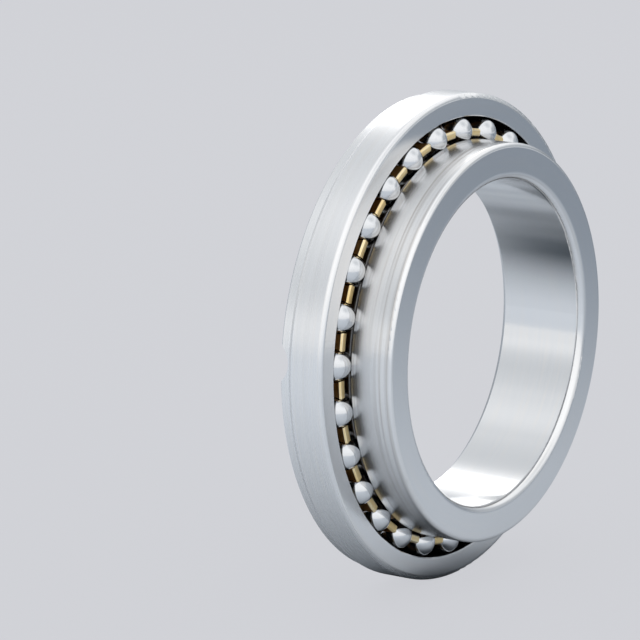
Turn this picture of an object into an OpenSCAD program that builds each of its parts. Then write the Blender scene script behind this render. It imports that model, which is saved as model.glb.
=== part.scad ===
/* [Main sizes, mm] */
// Shaft bore diameter of the inner ring
bore_d = 100; // [90:0.5:110]
// Outside diameter of the outer ring
outer_d = 150; // [145:0.5:160]
// Full width, which is the inner ring's width
inner_w = 30; // [28:0.5:34]
// Width of the outer ring, from the mating face forward
outer_w = 15; // [14:0.5:18]

/* [Balls] */
// Ball diameter
ball_d = 9.525; // [8:0.005:10]
// Pitch circle diameter of the ball centres
pitch_d = 126.5; // [120:0.1:130]
// Distance of the ball centres in front of the mating face
ball_z = 12.2; // [11:0.1:14]
// Number of balls
ball_count = 28; // [24:1:30]
// Turn of the first ball above the horizontal, degrees
ball_phase = 2.5; // [0:0.1:12]
// Contact angle, degrees from the radial plane
contact_angle = 50; // [30:1:60]

/* [Raceways] */
// Groove radius of both raceways
groove_r = 4.95; // [4.9:0.01:5.2]
// Gap between ball and groove along the contact line
contact_gap = 0.02; // [0.01:0.005:0.08]

/* [Outer ring] */
// Radius of the land that guides the cage
land_bore_r = 64.6; // [64.2:0.05:66]
// Radius of the open front counterbore
counterbore_r = 67.95; // [67.5:0.05:68.05]
// Radius of the rounded front rim
rim_round = 1.6; // [1:0.1:3]
// Chamfer inside the front counterbore
counterbore_chamfer = 0.3; // [0.2:0.1:1.5]
// Radius of the turned-down shoulder beside the mating face
relief_r = 73.9; // [73:0.05:74.5]
// Width of the turned-down shoulder
relief_w = 3.1; // [1:0.1:5]
// Width of the bevel between the shoulder and the full diameter
bevel_w = 1.5; // [0.5:0.1:3]
// Chamfer at the edge of the mating face
mating_chamfer = 0.6; // [0.2:0.1:1.5]
// Small chamfer at the mating edge of the cage land
land_chamfer = 0.25; // [0.1:0.05:0.6]

/* [Oil slots] */
// Number of radial oil slots in the mating face
slot_count = 4; // [2:1:8]
// Width of a slot at the mating face
slot_w = 11.2; // [6:0.1:14]
// Depth of a slot
slot_depth = 2.8; // [1:0.1:4]
// Turn of the slots from the level and upright directions, degrees
slot_turn = 3; // [0:0.1:20]

/* [Inner ring] */
// Radius of the thick front shoulder
shoulder_r = 61.1; // [60.5:0.05:61.5]
// Radius of the thin back land
land_r = 58.55; // [58.45:0.05:58.7]
// Rounding of the bore at the front face
bore_round = 2.4; // [0.5:0.1:3]
// Chamfer of the bore at the back face
bore_chamfer_back = 1.6; // [0.5:0.1:3]
// Rounding of the shoulder's front edge
shoulder_round = 1.4; // [0.5:0.1:3]
// Chamfer at the back edge of the land
land_edge_chamfer = 0.5; // [0.2:0.1:1]

/* [Cage] */
// Outer radius of the comb cage
cage_outer_r = 64.1; // [63.5:0.05:64.5]
// Inner radius of the closed ring of the cage
cage_inner_r = 60.4; // [59.5:0.05:61]
// Inner radius of the fingers
finger_inner_r = 61.6; // [61.2:0.05:62]
// Length of the closed ring at its inside, from the mating face
cage_ring_z = 5.6; // [4:0.1:5.9]
// Depth of the cage below the mating face
cage_recess = 0.6; // [0.2:0.1:2]
// Distance of the finger ends in front of the mating face
finger_end_z = 14.6; // [14:0.1:16]
// Bevel on the outside of the finger ends
finger_bevel = 0.5; // [0.2:0.1:1]
// Gap between ball and pocket
pocket_gap = 0.25; // [0.1:0.05:0.5]
// Edge break on the cage ring
cage_chamfer = 0.35; // [0.1:0.05:0.8]

/* [Hidden] */
$fn = 96;
eps = 0.5;
rim_r = outer_d / 2;
bore_r = bore_d / 2;
ball_r = ball_d / 2;
pitch_r = pitch_d / 2;
pocket_r = ball_r + pocket_gap;
ball_step = 360 / ball_count;
groove_shift = groove_r - ball_r - contact_gap;
outer_groove_r = pitch_r - groove_shift * cos(contact_angle);
outer_groove_z = ball_z + groove_shift * sin(contact_angle);
inner_groove_r = pitch_r + groove_shift * cos(contact_angle);
inner_groove_z = ball_z - groove_shift * sin(contact_angle);
slot_round = (slot_w * slot_w / 4 + slot_depth * slot_depth) / (2 * slot_depth);
steel_outer = [0.74, 0.75, 0.77];
steel_inner = [0.78, 0.79, 0.81];
steel_ball = [0.92, 0.93, 0.95];
brass = [0.80, 0.64, 0.36];

// The parts are drawn with the axis along +Z and the mating face at Z = 0.
// This lays the axis along -Y, front face forward, outer ring centred on the origin.
module place() {
  translate([0, outer_w / 2, 0])
  rotate([90, 0, 0])
  children();
}

// Direction of ball number i, from the left-hand side of the bearing.
function ball_angle(i) = 180 - ball_phase - (i - 1) * ball_step;

// Section of the outer ring, with its rounded front rim.
module outer_section() {
  polygon([
    [land_bore_r + land_chamfer, 0],
    [relief_r - mating_chamfer, 0],
    [relief_r, mating_chamfer],
    [relief_r, relief_w],
    [rim_r, relief_w + bevel_w],
    [rim_r, outer_w - rim_round],
    [rim_r - rim_round, outer_w - rim_round],
    [rim_r - rim_round, outer_w],
    [counterbore_r + counterbore_chamfer, outer_w],
    [counterbore_r, outer_w - counterbore_chamfer],
    [counterbore_r, outer_groove_z],
    [land_bore_r, outer_groove_z],
    [land_bore_r, land_chamfer]
  ]);
  translate([rim_r - rim_round, outer_w - rim_round])
  circle(r = rim_round);
}

// Section of the inner ring: thin land at the back, thick shoulder in front.
module inner_section() {
  polygon([
    [bore_r + bore_chamfer_back, 0],
    [land_r - land_edge_chamfer, 0],
    [land_r, land_edge_chamfer],
    [land_r, inner_groove_z],
    [shoulder_r, inner_groove_z],
    [shoulder_r, inner_w - shoulder_round],
    [shoulder_r - shoulder_round, inner_w - shoulder_round],
    [shoulder_r - shoulder_round, inner_w],
    [bore_r + bore_round, inner_w],
    [bore_r + bore_round, inner_w - bore_round],
    [bore_r, inner_w - bore_round],
    [bore_r, bore_chamfer_back]
  ]);
  translate([shoulder_r - shoulder_round, inner_w - shoulder_round])
  circle(r = shoulder_round);
  translate([bore_r + bore_round, inner_w - bore_round])
  circle(r = bore_round);
}

// Section of the cage blank.
module cage_section() {
  polygon([
    [cage_inner_r + cage_chamfer, cage_recess],
    [cage_outer_r - cage_chamfer, cage_recess],
    [cage_outer_r, cage_recess + cage_chamfer],
    [cage_outer_r, finger_end_z - finger_bevel],
    [cage_outer_r - finger_bevel, finger_end_z],
    [finger_inner_r + cage_chamfer, finger_end_z],
    [finger_inner_r, finger_end_z - cage_chamfer],
    [finger_inner_r, cage_ring_z + finger_inner_r - cage_inner_r],
    [cage_inner_r, cage_ring_z],
    [cage_inner_r, cage_recess + cage_chamfer]
  ]);
}

// One radial trough across the mating face.
module oil_slot() {
  translate([land_bore_r - eps - 1, 0, slot_depth - slot_round])
  rotate([0, 90, 0])
  cylinder(r = slot_round, h = rim_r - land_bore_r + 2 * eps + 2);
}

// One round ball pocket. The finger ends close in past its middle, so the ball stays in.
module pocket() {
  translate([cage_inner_r - eps - 1, 0, ball_z])
  rotate([0, 90, 0])
  cylinder(r = pocket_r, h = cage_outer_r - cage_inner_r + 2 * eps + 2);
}

// Ball number i in its place on the pitch circle.
module ball(i) {
  color(steel_ball)
  place()
  rotate([0, 0, ball_angle(i)])
  translate([pitch_r, 0, ball_z])
  sphere(r = ball_r);
}

module outer_ring() {
  color(steel_outer)
  place()
  difference() {
    rotate_extrude()
    outer_section();
    rotate_extrude()
    translate([outer_groove_r, outer_groove_z])
    circle(r = groove_r);
    for (i = [0 : slot_count - 1])
      rotate([0, 0, i * 360 / slot_count - slot_turn])
      oil_slot();
  }
}

module inner_ring() {
  color(steel_inner)
  place()
  difference() {
    rotate_extrude()
    inner_section();
    rotate_extrude()
    translate([inner_groove_r, inner_groove_z])
    circle(r = groove_r);
  }
}

module cage() {
  color(brass)
  place()
  difference() {
    rotate_extrude()
    cage_section();
    for (i = [1 : ball_count])
      rotate([0, 0, ball_angle(i)])
      pocket();
  }
}

module ball_01() {
  ball(1);
}

module ball_02() {
  ball(2);
}

module ball_03() {
  ball(3);
}

module ball_04() {
  ball(4);
}

module ball_05() {
  ball(5);
}

module ball_06() {
  ball(6);
}

module ball_07() {
  ball(7);
}

module ball_08() {
  ball(8);
}

module ball_09() {
  ball(9);
}

module ball_10() {
  ball(10);
}

module ball_11() {
  ball(11);
}

module ball_12() {
  ball(12);
}

module ball_13() {
  ball(13);
}

module ball_14() {
  ball(14);
}

module ball_15() {
  ball(15);
}

module ball_16() {
  ball(16);
}

module ball_17() {
  ball(17);
}

module ball_18() {
  ball(18);
}

module ball_19() {
  ball(19);
}

module ball_20() {
  ball(20);
}

module ball_21() {
  ball(21);
}

module ball_22() {
  ball(22);
}

module ball_23() {
  ball(23);
}

module ball_24() {
  ball(24);
}

module ball_25() {
  ball(25);
}

module ball_26() {
  ball(26);
}

module ball_27() {
  ball(27);
}

module ball_28() {
  ball(28);
}

outer_ring();
inner_ring();
cage();
ball_01();
ball_02();
ball_03();
ball_04();
ball_05();
ball_06();
ball_07();
ball_08();
ball_09();
ball_10();
ball_11();
ball_12();
ball_13();
ball_14();
ball_15();
ball_16();
ball_17();
ball_18();
ball_19();
ball_20();
ball_21();
ball_22();
ball_23();
ball_24();
ball_25();
ball_26();
ball_27();
ball_28();
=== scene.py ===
import math
import bpy
from mathutils import Matrix, Vector


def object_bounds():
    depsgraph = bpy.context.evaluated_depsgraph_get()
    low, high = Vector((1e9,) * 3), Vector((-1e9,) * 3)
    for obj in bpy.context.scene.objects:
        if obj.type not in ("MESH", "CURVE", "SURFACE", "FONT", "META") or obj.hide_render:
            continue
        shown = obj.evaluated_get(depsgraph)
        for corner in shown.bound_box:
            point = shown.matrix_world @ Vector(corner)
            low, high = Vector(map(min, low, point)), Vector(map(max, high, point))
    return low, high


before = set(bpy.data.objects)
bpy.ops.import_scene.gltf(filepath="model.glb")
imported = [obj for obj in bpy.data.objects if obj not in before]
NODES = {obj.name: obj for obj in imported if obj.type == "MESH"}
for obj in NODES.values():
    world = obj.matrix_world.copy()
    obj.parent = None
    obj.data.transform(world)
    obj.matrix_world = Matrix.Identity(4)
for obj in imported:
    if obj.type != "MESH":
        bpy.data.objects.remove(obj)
CAD_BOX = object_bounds()


# ---------------------------------------------------------------- node helpers
class Graph:
    """Short names for the few node kinds that the materials are made of."""

    def __init__(self, tree):
        self.tree = tree
        tree.nodes.clear()

    def node(self, kind, **settings):
        n = self.tree.nodes.new(kind)
        for key, value in settings.items():
            setattr(n, key, value)
        return n

    def put(self, socket, value):
        if isinstance(value, bpy.types.NodeSocket):
            self.tree.links.new(value, socket)
        elif value is not None:
            socket.default_value = value

    def math(self, op, a, b=None, c=None, clamp=False):
        n = self.node("ShaderNodeMath", operation=op, use_clamp=clamp)
        for socket, value in zip(n.inputs, (a, b, c)):
            self.put(socket, value)
        return n.outputs[0]

    def add(self, a, b, clamp=False):
        return self.math("ADD", a, b, clamp=clamp)

    def sub(self, a, b):
        return self.math("SUBTRACT", a, b)

    def times(self, a, b):
        return self.math("MULTIPLY", a, b)

    def over(self, a, b):
        return self.math("DIVIDE", a, b)

    def madd(self, a, by, plus, clamp=False):
        """a * by + plus"""
        return self.math("MULTIPLY_ADD", a, by, plus, clamp=clamp)

    def vmath(self, op, a, b=None):
        n = self.node("ShaderNodeVectorMath", operation=op)
        self.put(n.inputs[0], a)
        self.put(n.inputs[1], b)
        return n.outputs["Value"] if op in ("DOT_PRODUCT", "LENGTH") else n.outputs[0]

    def ramp(self, x, lo, hi, a=0.0, b=1.0, kind="SMOOTHSTEP"):
        """a at lo, b at hi, soft between."""
        n = self.node("ShaderNodeMapRange", interpolation_type=kind)
        for socket, value in zip(n.inputs, (x, lo, hi, a, b)):
            self.put(socket, value)
        return n.outputs[0]

    def xyz(self, vector):
        n = self.node("ShaderNodeSeparateXYZ")
        self.put(n.inputs[0], vector)
        return n.outputs

    def vec(self, x, y, z):
        n = self.node("ShaderNodeCombineXYZ")
        for socket, value in zip(n.inputs, (x, y, z)):
            self.put(socket, value)
        return n.outputs[0]

    def noise(self, vector, scale, detail=3.0, rough=0.55, w=None):
        n = self.node("ShaderNodeTexNoise", noise_dimensions="3D" if w is None else "4D")
        self.put(n.inputs["Vector"], vector)
        if w is not None:
            self.put(n.inputs["W"], w)
        n.inputs["Scale"].default_value = scale
        n.inputs["Detail"].default_value = detail
        n.inputs["Roughness"].default_value = rough
        return n.outputs[0]

    def mix(self, factor, a, b):
        n = self.node("ShaderNodeMix", data_type="RGBA")
        self.put(n.inputs[0], factor)
        self.put(n.inputs[6], a)
        self.put(n.inputs[7], b)
        return n.outputs[2]

    def camera_or(self, others, seen, out_kind):
        """What the camera sees directly, and what every other ray meets."""
        n = self.node("ShaderNodeMixShader")
        self.put(n.inputs[0], self.node("ShaderNodeLightPath").outputs["Is Camera Ray"])
        self.put(n.inputs[1], others)
        self.put(n.inputs[2], seen)
        self.put(self.node(out_kind).inputs[0], n.outputs[0])


def material(name):
    m = bpy.data.materials.new(name)
    m.use_nodes = True
    return m, Graph(m.node_tree)


def rgb(r, g, b):
    return (r, g, b, 1.0)


def round_coords(g):
    """Radius and axial place in mm and direction round the bearing's axis, from the part's own coordinates.
    ny is how far the surface faces along the axis."""
    at = g.node("ShaderNodeTexCoord")
    x, y, z = g.xyz(at.outputs["Object"])
    r = g.math("SQRT", g.add(g.times(x, x), g.times(z, z)))
    return dict(
        pos=at.outputs["Object"],
        r=g.times(r, 1000.0),
        y=g.times(y, 1000.0),
        cx=g.over(x, r),
        cz=g.over(z, r),
        ny=g.math("ABSOLUTE", g.xyz(at.outputs["Normal"])[1]),
    )


def lay(g, c, across, along, detail=3.0, rough=0.6):
    """Noise drawn out round the axis: turning and grinding marks. across is lines per mm, along is patches
    per radian."""
    v = g.vec(g.times(c["cx"], along), g.times(c["cz"], along), g.times(c["r"], across))
    return g.noise(v, scale=1.0, detail=detail, rough=rough, w=g.times(c["y"], across))


def edge_mask(g, c, edges, reach):
    """1 on the circular edges given as (radius, axial place) in mm, falling to 0 at reach mm."""
    best = None
    for er, ey in edges:
        dr = g.sub(c["r"], er)
        dy = g.sub(c["y"], ey)
        d = g.math("SQRT", g.add(g.times(dr, dr), g.times(dy, dy)))
        best = d if best is None else g.math("MINIMUM", best, d)
    return g.ramp(best, 0.0, reach, 1.0, 0.0)


def rises(g, x, limit, soft):
    """0 below the limit and 1 above, soft on both sides of it."""
    return g.ramp(x, limit - soft, limit + soft)


def falls(g, x, limit, soft):
    """1 below the limit and 0 above, soft on both sides of it."""
    return g.ramp(x, limit - soft, limit + soft, 1.0, 0.0)


BUMP_DISTANCE = 0.0001  # metres, as the scene is
QUARTER_TURN = 0.25


def finish_metal(g, colour, rough, height, bump, aniso=0.0):
    """Bare metal. bump is how strongly height shows, and aniso draws highlights out across the lay."""
    p = g.node("ShaderNodeBsdfPrincipled")
    p.inputs["Metallic"].default_value = 1.0
    g.put(p.inputs["Base Color"], colour)
    g.put(p.inputs["Roughness"], rough)
    if aniso:
        p.inputs["Anisotropic"].default_value = aniso
        p.inputs["Anisotropic Rotation"].default_value = QUARTER_TURN
        t = g.node("ShaderNodeTangent", direction_type="RADIAL", axis="Y")
        g.put(p.inputs["Tangent"], t.outputs[0])
    b = g.node("ShaderNodeBump")
    b.inputs["Strength"].default_value = bump
    b.inputs["Distance"].default_value = BUMP_DISTANCE
    g.put(b.inputs["Height"], height)
    g.put(p.inputs["Normal"], b.outputs[0])
    g.put(g.node("ShaderNodeOutputMaterial").inputs[0], p.outputs[0])


# ------------------------------------------------------------------- materials
# Lengths are in mm. A ring without a bore seat has NO_SEAT, which is less than any of its radii.
FACE_ROUGH = 0.13
STEEL_ANISO = 0.60
STEEL_BUMP = 0.03
STEEL_WORN_REACH = 0.70
SEAT_SOFT = 0.4
NO_SEAT = 1.0
# Softness in mm of the edges of the painted shade inside the ring.
INSIDE_SHADE_SOFT_R = 0.04
INSIDE_SHADE_SOFT_Y = (0.10, 0.05)
STEEL_WARM = rgb(0.735, 0.722, 0.705)
STEEL_LINE = rgb(0.40, 0.375, 0.35)
STEEL_WORN = rgb(0.84, 0.85, 0.86)
STEEL_MARK = rgb(0.45, 0.45, 0.46)
# Near-black colour of the painted shade inside the ring.
STEEL_INSIDE_SHADE = rgb(0.10, 0.098, 0.095)


def ground_steel(name, edges, dark, light, rough, shade_r, shade_y, seat, lines):
    """Ground bearing steel: fine lay round the axis, faint cloudy patches, handling marks, bright worn
    edges. The flat faces are ground finer than the round ones, and so is a bore inside the radius seat.
    shade_r and shade_y are the radii and axial places of the inside between the rings, in mm, which is
    painted near-black as shade and ground smoother. lines is how strongly single grinding lines show."""
    m, g = material(name)
    c = round_coords(g)
    fine = lay(g, c, across=7.0, along=5.0, detail=2.0)
    broad = lay(g, c, across=1.1, along=2.2, detail=3.0)
    cloud = g.noise(c["pos"], scale=22.0, detail=3.0, rough=0.5)
    grain = g.noise(c["pos"], scale=900.0, detail=2.0, rough=0.5)
    marks = g.ramp(g.noise(c["pos"], scale=160.0, detail=5.0, rough=0.7), 0.68, 0.78)
    bore = g.ramp(c["r"], seat, seat + SEAT_SOFT, 1.0, 0.0)
    flat = g.ramp(c["ny"], 0.90, 0.99)
    line = g.ramp(lay(g, c, across=0.55, along=0.5, detail=3.0, rough=0.5), 0.47, 0.66)
    line = g.times(line, g.sub(1.0, g.math("MAXIMUM", bore, flat)))
    worn = edge_mask(g, c, edges, STEEL_WORN_REACH)
    worn = g.times(worn, g.ramp(g.noise(c["pos"], scale=150.0, detail=2.0), 0.15, 0.75))
    # Painted shade: the inside between the rings, where shade falls, is mixed towards a near-black colour.
    inside = g.times(rises(g, c["r"], shade_r[0], INSIDE_SHADE_SOFT_R), falls(g, c["r"], shade_r[1], INSIDE_SHADE_SOFT_R))
    inside = g.times(inside, rises(g, c["y"], shade_y[0], INSIDE_SHADE_SOFT_Y[0]))
    inside = g.times(inside, falls(g, c["y"], shade_y[1], INSIDE_SHADE_SOFT_Y[1]))

    tone = g.add(g.times(fine, 0.45), g.times(broad, 0.35))
    tone = g.add(tone, g.times(cloud, 0.30))
    colour = g.mix(g.ramp(tone, 0.35, 0.75), dark, light)
    colour = g.mix(g.times(g.ramp(broad, 0.45, 0.65), 0.5), colour, STEEL_WARM)
    colour = g.mix(g.times(line, lines), colour, STEEL_LINE)
    colour = g.mix(g.times(worn, 0.20), colour, STEEL_WORN)
    colour = g.mix(g.times(marks, 0.08), colour, STEEL_MARK)
    # Painted shade on the inside between the rings.
    colour = g.mix(g.times(inside, g.madd(broad, 0.10, 0.86)), colour, STEEL_INSIDE_SHADE)

    ruff = g.madd(flat, FACE_ROUGH - rough, rough)
    ruff = g.times(ruff, g.madd(fine, 0.40, 0.80))
    ruff = g.madd(cloud, 0.03, ruff)
    ruff = g.madd(marks, 0.06, ruff)
    ruff = g.times(ruff, g.madd(worn, -0.20, 1.0))
    ruff = g.times(ruff, g.madd(bore, -0.35, 1.0))
    ruff = g.math("MULTIPLY", ruff, g.madd(inside, -0.30, 1.0), clamp=True)

    height = g.add(g.times(fine, 0.8), g.times(grain, 0.25))
    height = g.times(height, g.madd(inside, -0.8, 1.0))
    finish_metal(g, colour, ruff, height, STEEL_BUMP, STEEL_ANISO)
    return m


BRASS_DARK = rgb(0.84, 0.63, 0.29)
BRASS_LIGHT = rgb(0.97, 0.80, 0.47)
BRASS_GRAIN = rgb(0.62, 0.42, 0.17)
# Painted shade: the darker, redder colours of the cage's sides and pockets.
BRASS_SIDE_SHADE = (rgb(0.40, 0.16, 0.035), rgb(0.80, 0.43, 0.14))
BRASS_WORN = rgb(0.98, 0.88, 0.66)
BRASS_WORN_REACH = 0.40
BRASS_BUMP = 0.18
BRASS_ANISO = 0.35


def machined_brass(name, edges):
    """Turned and milled brass: rings of tool marks, bright rubbed edges, and a darker, redder colour on the
    sides and in the pockets than on the end faces, which is painted shade."""
    m, g = material(name)
    c = round_coords(g)
    turned = lay(g, c, across=4.5, along=3.0, detail=3.0)
    grain = g.noise(c["pos"], scale=1400.0, detail=2.0, rough=0.6)
    patch = g.noise(c["pos"], scale=60.0, detail=4.0, rough=0.55)
    ends = g.ramp(c["ny"], 0.35, 0.60)
    worn = g.times(edge_mask(g, c, edges, BRASS_WORN_REACH), g.ramp(patch, 0.35, 0.6))

    tone = g.add(g.times(turned, 0.5), g.times(patch, 0.5))
    colour = g.mix(g.ramp(tone, 0.34, 0.66), BRASS_DARK, BRASS_LIGHT)
    colour = g.mix(g.times(g.ramp(grain, 0.55, 0.75), 0.25), colour, BRASS_GRAIN)
    # Painted shade: all but the end faces take the darker side colours.
    colour = g.mix(ends, g.mix(g.ramp(patch, 0.35, 0.65), *BRASS_SIDE_SHADE), colour)
    colour = g.mix(g.times(worn, 0.7), colour, BRASS_WORN)

    ruff = g.madd(turned, 0.20, 0.26)
    ruff = g.madd(ends, 0.10, ruff)
    ruff = g.madd(grain, 0.10, ruff)
    ruff = g.madd(worn, -0.12, ruff, clamp=True)

    height = g.add(g.times(turned, 0.7), g.times(grain, 0.5))
    finish_metal(g, colour, ruff, height, BRASS_BUMP, BRASS_ANISO)
    return m


BALL_DARK = rgb(0.59, 0.605, 0.62)
BALL_LIGHT = rgb(0.67, 0.68, 0.69)
BALL_HAIR = rgb(0.50, 0.51, 0.53)
BALL_BUMP = 0.02
HAIR_SCALE = (2600.0, 300.0, 900.0)


def polished_ball(name):
    """Lapped ball steel: bright with a breath of haze and hair-fine running marks."""
    m, g = material(name)
    p = g.node("ShaderNodeTexCoord").outputs["Object"]
    haze = g.noise(p, scale=240.0, detail=3.0, rough=0.5)
    hair = g.noise(g.vmath("MULTIPLY", p, HAIR_SCALE), scale=1.0, detail=3.0, rough=0.6)
    hair = g.ramp(hair, 0.60, 0.70)
    colour = g.mix(haze, BALL_DARK, BALL_LIGHT)
    colour = g.mix(g.times(hair, 0.25), colour, BALL_HAIR)
    ruff = g.madd(haze, 0.08, 0.11)
    ruff = g.madd(hair, 0.08, ruff)
    finish_metal(g, colour, ruff, hair, BALL_BUMP)
    return m


def dress(obj, mat):
    for s in obj.material_slots:
        s.link = "OBJECT"
        s.material = mat


# Circular edges that hands and tools rub bright, as (radius, axial place) in mm.
OUTER_EDGES = [
    (68.25, -7.5), (74.5, -7.0), (75.0, 2.9), (73.9, 4.4), (73.9, 6.9), (73.3, 7.5), (64.85, 7.5),
]
INNER_EDGES = [
    (50.7, -21.8), (60.7, -22.1), (58.55, 7.0), (58.05, 7.5), (51.6, 7.5), (50.0, 5.9),
]
CAGE_EDGES = [
    (64.1, 6.55), (63.75, 6.9), (60.75, 6.9), (60.4, 6.55),
    (64.1, -6.6), (63.6, -7.1), (61.95, -7.1), (61.6, -6.75),
]

outer_mat = ground_steel(
    "outer_ring_steel",
    OUTER_EDGES,
    dark=rgb(0.715, 0.72, 0.725),
    light=rgb(0.755, 0.76, 0.765),
    rough=0.27,
    shade_r=(64.5, 68.10),
    shade_y=(-7.2, 7.2),
    seat=NO_SEAT,
    lines=0.06,
)
inner_mat = ground_steel(
    "inner_ring_steel",
    INNER_EDGES,
    dark=rgb(0.70, 0.705, 0.71),
    light=rgb(0.74, 0.745, 0.75),
    rough=0.22,
    shade_r=(58.40, 61.05),
    shade_y=(-9.0, 7.0),
    seat=50.2,
    lines=0.55,
)
brass_mat = machined_brass("cage_brass", CAGE_EDGES)
ball_mat = polished_ball("ball_steel")

dress(NODES["outer_ring"], outer_mat)
dress(NODES["inner_ring"], inner_mat)
dress(NODES["cage"], brass_mat)
for name, obj in NODES.items():
    if name.startswith("ball_"):
        dress(obj, ball_mat)

# ----------------------------------------------------------------------- floor
# Places are in metres on the floor, with the bearing's foot at (0, 0).
PAPER = rgb(0.631, 0.638, 0.672)
PAPER_GLOW = 0.93
PAPER_SHADE = rgb(0.045, 0.046, 0.048)
FLOOR_RADIUS = 9.0
FLOOR_GAP = 0.0002
# Painted light on the floor the steel mirrors: bright on the left, dim on the right.
FLOOR_PAINTED_LIGHT = rgb(0.720, 0.755, 0.800)
FLOOR_PAINTED_DIM = rgb(0.270, 0.305, 0.350)
PAINTED_FALL_OFF = (-0.30, 0.60)
# Painted light: the mirrored floor is paler far in front.
FLOOR_FAR_PAINTED_LIGHT = rgb(0.93, 0.95, 0.97)
FAR_RANGE = (-1.6, -0.5)
FAR_AMOUNT = 0.8
# Painted shadow round the bearing's foot on the mirrored floor.
SHADOW_PLACE = (0.0, 0.020)
SHADOW_WIDE = 0.045
SHADOW_FRONT = 0.034
SHADOW_REAR = 0.060
SHADOW_DEPTH = 0.96
SHADOW_COLOUR = rgb(0.010, 0.022, 0.034)
# Painted streaks that break the painted shadow behind and to the right.
SHADOW_STREAK_SCALE = (34.0, 4.0)
SHADOW_STREAK_AMOUNT = 1.5
SHADOW_STREAKS_BEHIND = (0.02, 0.04)
SHADOW_STREAKS_RIGHT = (-0.03, 0.02)
# Painted contact shadow on the mirrored floor where the ring stands.
CONTACT_SHADOW_PLACE = (-0.013, -0.004, 0.0)
CONTACT_SHADOW_REACH = (0.008, 0.024)
CONTACT_SHADOW_DEPTH = 0.66
CONTACT_SHADOW_COLOUR = rgb(0.006, 0.010, 0.014)


def painted_foot_shadow(g, x, y):
    """How deep the painted soft shadow round the foot is. It falls off faster in front than behind, and
    behind and to the right it is broken by faint painted streaks drawn out along the bearing's axis."""
    across = g.over(g.sub(x, SHADOW_PLACE[0]), SHADOW_WIDE)
    behind = g.over(g.sub(y, SHADOW_PLACE[1]), SHADOW_REAR)
    before = g.over(g.sub(SHADOW_PLACE[1], y), SHADOW_FRONT)
    along = g.math("MAXIMUM", behind, before)
    away = g.add(g.times(across, across), g.math("POWER", along, 4.0))
    shadow = g.over(SHADOW_DEPTH, g.add(away, 1.0))
    # Painted streaks in the shadow, drawn out along the bearing's axis.
    drawn = g.vec(g.times(x, SHADOW_STREAK_SCALE[0]), g.times(y, SHADOW_STREAK_SCALE[1]), 0.0)
    streaks = g.noise(drawn, scale=1.0, detail=3.0, rough=0.6)
    streaks = g.times(g.sub(streaks, 0.5), g.ramp(y, *SHADOW_STREAKS_BEHIND, 0.0, SHADOW_STREAK_AMOUNT))
    streaks = g.times(streaks, g.ramp(x, *SHADOW_STREAKS_RIGHT))
    return g.add(shadow, streaks, clamp=True)


def pale_floor(height):
    """A plain pale floor. The camera sees paper of one even tone with a faint shadow on it. What the steel
    mirrors is the same floor with painted light and shade on it: painted light on the left that dims to the
    right, a painted paler stretch far in front, and a painted soft shadow round the bearing's foot."""
    bpy.ops.mesh.primitive_circle_add(
        vertices=96, radius=FLOOR_RADIUS, fill_type="NGON", location=(0, 0, height)
    )
    floor = bpy.context.object
    floor.name = "floor"
    m, g = material("paper_floor")
    x, y, _ = g.xyz(g.node("ShaderNodeTexCoord").outputs["Object"])
    # Painted light: brighter on the left, dimmer on the right.
    colour = g.mix(g.ramp(x, *PAINTED_FALL_OFF), FLOOR_PAINTED_LIGHT, FLOOR_PAINTED_DIM)
    # Painted light: paler far in front.
    colour = g.mix(g.ramp(y, *FAR_RANGE, FAR_AMOUNT, 0.0), colour, FLOOR_FAR_PAINTED_LIGHT)
    # Painted shadow round the bearing's foot.
    colour = g.mix(painted_foot_shadow(g, x, y), colour, SHADOW_COLOUR)
    # Painted contact shadow where the ring stands.
    contact = g.vmath("LENGTH", g.vmath("SUBTRACT", g.vec(x, y, 0.0), CONTACT_SHADOW_PLACE))
    colour = g.mix(g.ramp(contact, *CONTACT_SHADOW_REACH, CONTACT_SHADOW_DEPTH, 0.0), colour, CONTACT_SHADOW_COLOUR)
    # The floor the steel mirrors, carrying the painted light and shade above.
    mirrored = g.node("ShaderNodeBsdfDiffuse")
    g.put(mirrored.inputs[0], colour)

    shade = g.node("ShaderNodeBsdfDiffuse")
    shade.inputs[0].default_value = PAPER_SHADE
    glow = g.node("ShaderNodeEmission")
    glow.inputs[0].default_value = PAPER
    glow.inputs[1].default_value = PAPER_GLOW
    paper = g.node("ShaderNodeAddShader")
    g.put(paper.inputs[0], shade.outputs[0])
    g.put(paper.inputs[1], glow.outputs[0])
    g.camera_or(mirrored.outputs[0], paper.outputs[0], "ShaderNodeOutputMaterial")
    floor.data.materials.append(m)


pale_floor(CAD_BOX[0].z - FLOOR_GAP)

# ---------------------------------------------------------------------- studio
# Backdrop brightness against the turn in degrees: 180 is the left, 270 overhead, 360 the right. The floor
# hides what is below.
BACKDROP = [
    (0, 0.50), (30, 0.40), (150, 0.76), (172, 1.02), (190, 1.04), (207, 0.82), (228, 0.95), (242, 1.04),
    (262, 0.92), (285, 0.84), (300, 1.08), (311, 1.36), (328, 1.32), (341, 0.96), (351, 0.70), (360, 0.50),
]
BACKDROP_TOP = 2.0
BACKDROP_FOLDS = 0.36
BACKDROP_FOLD_SCALE = 7.0
# Front: brightness from low to high, and how much of it is lost on the right, most of it low down.
FRONT_LEVEL = (-0.20, 0.50, 1.08, 1.34)
FRONT_DIM = (0.30, 0.52, 0.50, 0.10)
FRONT_RIGHT = (0.30, 0.70)
# Where the front passes into what stands behind.
REAR_RANGE = (-0.15, 0.25)
# Power and gain of red, green and blue.
STUDIO_TINT = [(1.08, 0.978), (1.01, 1.0), (0.94, 1.030)]
# Soft rectangles: direction, half width, half height, softness, brightness.
PANELS = [
    ((0.0, 1.0, 0.0), 0.45, 0.45, 0.12, 1.00),
    ((0.98, 0.0, 0.02), 0.42, 0.16, 0.05, 0.36),
    ((0.24, -0.60, 0.76), 0.30, 0.30, 0.30, 0.95),
]
PANEL_AHEAD = (0.05, 0.15)


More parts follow.
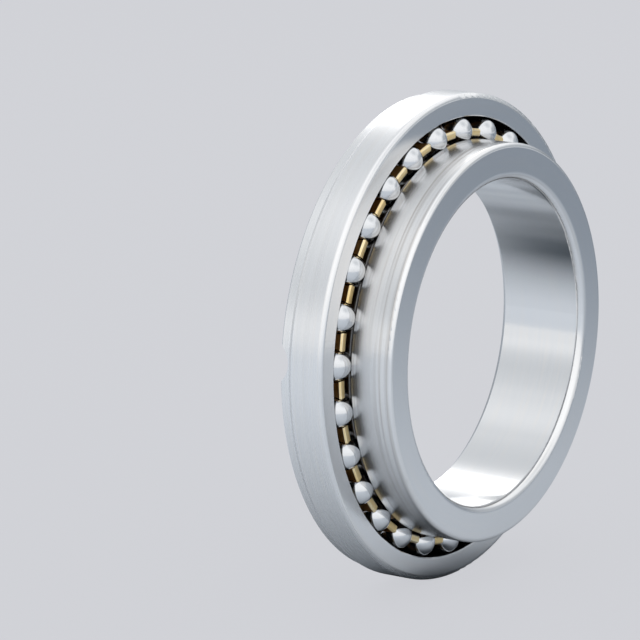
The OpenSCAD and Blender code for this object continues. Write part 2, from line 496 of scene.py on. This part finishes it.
def backdrop_level(g, x, y, z):
    """Brightness of the studio by direction: a profile over the turn behind, a plain bright front that dims
    towards the right."""
    # turn about the axis: 0 at +X, a quarter at the floor, a half at -X, three quarters overhead
    turn = g.times(g.math("ARCTAN2", g.times(z, -1.0), x), 0.5 / math.pi)
    turn = g.math("FRACT", g.add(turn, 1.0))
    curve = g.node("ShaderNodeFloatCurve")
    g.put(curve.inputs[1], turn)
    line = curve.mapping.curves[0]
    while len(line.points) < len(BACKDROP):
        line.points.new(0.5, 0.5)
    for point, (degrees, value) in zip(line.points, BACKDROP):
        point.location = (degrees / 360.0, value / BACKDROP_TOP)
        point.handle_type = "AUTO_CLAMPED"
    curve.mapping.update()
    off_axis = g.math("SQRT", g.add(g.times(x, x), g.times(z, z)))
    around = g.vec(g.over(x, off_axis), g.over(z, off_axis), 0.0)
    streaks = g.noise(around, scale=BACKDROP_FOLD_SCALE, detail=3.0, rough=0.6)
    streaks = g.madd(streaks, BACKDROP_FOLDS, BACKDROP_TOP - BACKDROP_FOLDS / 2.0)
    rear = g.times(curve.outputs[0], streaks)
    dim = g.times(g.ramp(x, *FRONT_RIGHT), g.ramp(z, *FRONT_DIM))
    front = g.times(g.ramp(z, *FRONT_LEVEL, "LINEAR"), g.sub(1.0, dim))
    rear = g.times(rear, g.ramp(y, *REAR_RANGE))
    front = g.times(front, g.ramp(y, *REAR_RANGE, 1.0, 0.0))
    return g.add(rear, front)


def panel(g, d, level, towards, width, height, soft, value):
    """The level with a soft-edged rectangle of light, or of shade, in one direction of the studio. Only
    what lies ahead in that direction is changed."""
    n = Vector(towards).normalized()
    side = n.cross(Vector((0, 0, 1))).normalized()
    up = side.cross(n).normalized()
    ahead = g.vmath("DOT_PRODUCT", d, tuple(n))
    safe = g.math("MAXIMUM", ahead, PANEL_AHEAD[0])
    u = g.math("ABSOLUTE", g.over(g.vmath("DOT_PRODUCT", d, tuple(side)), safe))
    v = g.math("ABSOLUTE", g.over(g.vmath("DOT_PRODUCT", d, tuple(up)), safe))
    f = g.times(falls(g, u, width, soft), falls(g, v, height, soft))
    f = g.times(f, g.ramp(ahead, *PANEL_AHEAD))
    return g.add(g.times(level, g.sub(1.0, f)), g.times(f, value))


def studio():
    """A pale studio over the floor, a little bluer where it is dark. The camera sees paper instead."""
    world = bpy.data.worlds.new("studio")
    bpy.context.scene.world = world
    world.use_nodes = True
    g = Graph(world.node_tree)
    d = g.node("ShaderNodeTexCoord").outputs["Generated"]
    x, y, z = g.xyz(d)
    level = backdrop_level(g, x, y, z)
    for shape in PANELS:
        level = panel(g, d, level, *shape)
    tint = g.vec(*(g.times(g.math("POWER", level, power), gain) for power, gain in STUDIO_TINT))
    lit = g.node("ShaderNodeBackground")
    g.put(lit.inputs[0], tint)
    plain = g.node("ShaderNodeBackground")
    plain.inputs[0].default_value = PAPER
    g.camera_or(lit.outputs[0], plain.outputs[0], "ShaderNodeOutputWorld")


def softbox(name, place, aim, size, power):
    data = bpy.data.lights.new(name, "AREA")
    data.shape = "RECTANGLE"
    data.size, data.size_y = size
    data.energy = power
    lamp = bpy.data.objects.new(name, data)
    bpy.context.scene.collection.objects.link(lamp)
    lamp.location = place
    lamp.rotation_mode = "QUATERNION"
    lamp.rotation_quaternion = (Vector(aim) - Vector(place)).to_track_quat("-Z", "Y")


studio()
softbox("key", place=(0.8, 0.7, 0.72), aim=(0, 0, 0), size=(0.5, 0.35), power=1.0)

# ---------------------------------------------------------------------- camera
CAMERA_PLACE = (-0.9047148, -0.5704260, 0.2333997)
CAMERA_RIGHT = (0.5615133, -0.8274677, 0.0)
CAMERA_BACK = (-0.8091409, -0.5490768, 0.2092982)
SENSOR_MM = 36.0
LENS_MM = 200.53
CLIP = (0.05, 50.0)

cam_data = bpy.data.cameras.new("camera")
cam = bpy.data.objects.new("camera", cam_data)
bpy.context.scene.collection.objects.link(cam)
bpy.context.scene.camera = cam
cam_data.sensor_width = SENSOR_MM
cam_data.lens = LENS_MM
cam_data.clip_start, cam_data.clip_end = CLIP
right = Vector(CAMERA_RIGHT).normalized()
back = Vector(CAMERA_BACK).normalized()
turned = Matrix((right, back.cross(right), back)).transposed()
cam.matrix_world = Matrix.Translation(CAMERA_PLACE) @ turned.to_4x4()
bpy.context.scene.view_settings.view_transform = "Standard"
bpy.context.scene.view_settings.look = "None"
